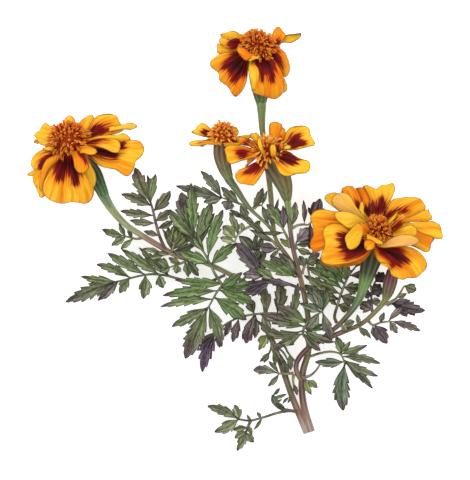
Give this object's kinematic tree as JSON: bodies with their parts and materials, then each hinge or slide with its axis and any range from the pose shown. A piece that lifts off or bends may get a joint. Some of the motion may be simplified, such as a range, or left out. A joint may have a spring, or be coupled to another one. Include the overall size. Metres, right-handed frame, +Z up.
{
  "type": "marigold flower sprig",
  "caption": "Cut branching flowering stem of a French marigold, lying flat: ruffled blooms, a bud and divided, toothed leaves on one forked stem.",
  "frame": {"origin": "on the surface that it lies on, under the middle of its outline", "axes": "+Z up from that surface, +Y from the cut end towards the highest bloom, +X towards the bud"},
  "size_m": [0.1889, 0.1926, 0.0364],
  "materials": {
    "petal": "satin, orange and yellow with maroon blotches",
    "floret": "matt, orange and rust",
    "leaf": "matt, green with purple tips",
    "cup": "satin, ribbed olive green",
    "stem": "satin, green turning purple-brown"
  },
  "bodies": {
    "root": {"cup_bud": "cup", "cup_front": "cup", "cup_left": "cup", "cup_middle": "cup", "cup_small": "cup", "cup_top": "cup", "disc_front": "floret", "disc_left": "floret", "disc_middle": "floret", "disc_small": "floret", "disc_top": "floret", "leaf_behind_right": "leaf", "leaf_bottom": "leaf", "leaf_bud_curl": "leaf", "leaf_bud_right": "leaf", "leaf_centre_light": "leaf", "leaf_centre_right": "leaf", "leaf_centre_thin": "leaf", "leaf_cup_right": "leaf", "leaf_dark_oval": "leaf", "leaf_fork_low": "leaf", "leaf_fork_right": "leaf", "leaf_front_low": "leaf", "leaf_grey_centre": "leaf", "leaf_hanging": "leaf", "leaf_left_low": "leaf", "leaf_left_narrow": "leaf", "leaf_left_upright": "leaf", "leaf_long_left": "leaf", "leaf_low_left": "leaf", "leaf_lower_centre": "leaf", "leaf_pair_front": "leaf", "leaf_purple_centre": "leaf", "leaf_right_end": "leaf", "leaf_right_low": "leaf", "leaf_right_middle": "leaf", "leaf_right_purple": "leaf", "leaf_right_upper": "leaf", "leaf_small_left": "leaf", "leaf_top_left": "leaf", "leaf_under_front": "leaf", "leaf_upper_left": "leaf", "petals_bud": "petal", "petals_front": "petal", "petals_left": "petal", "petals_middle": "petal", "petals_small": "petal", "petals_top": "petal", "stems": "stem"}
  },
  "joints": []
}
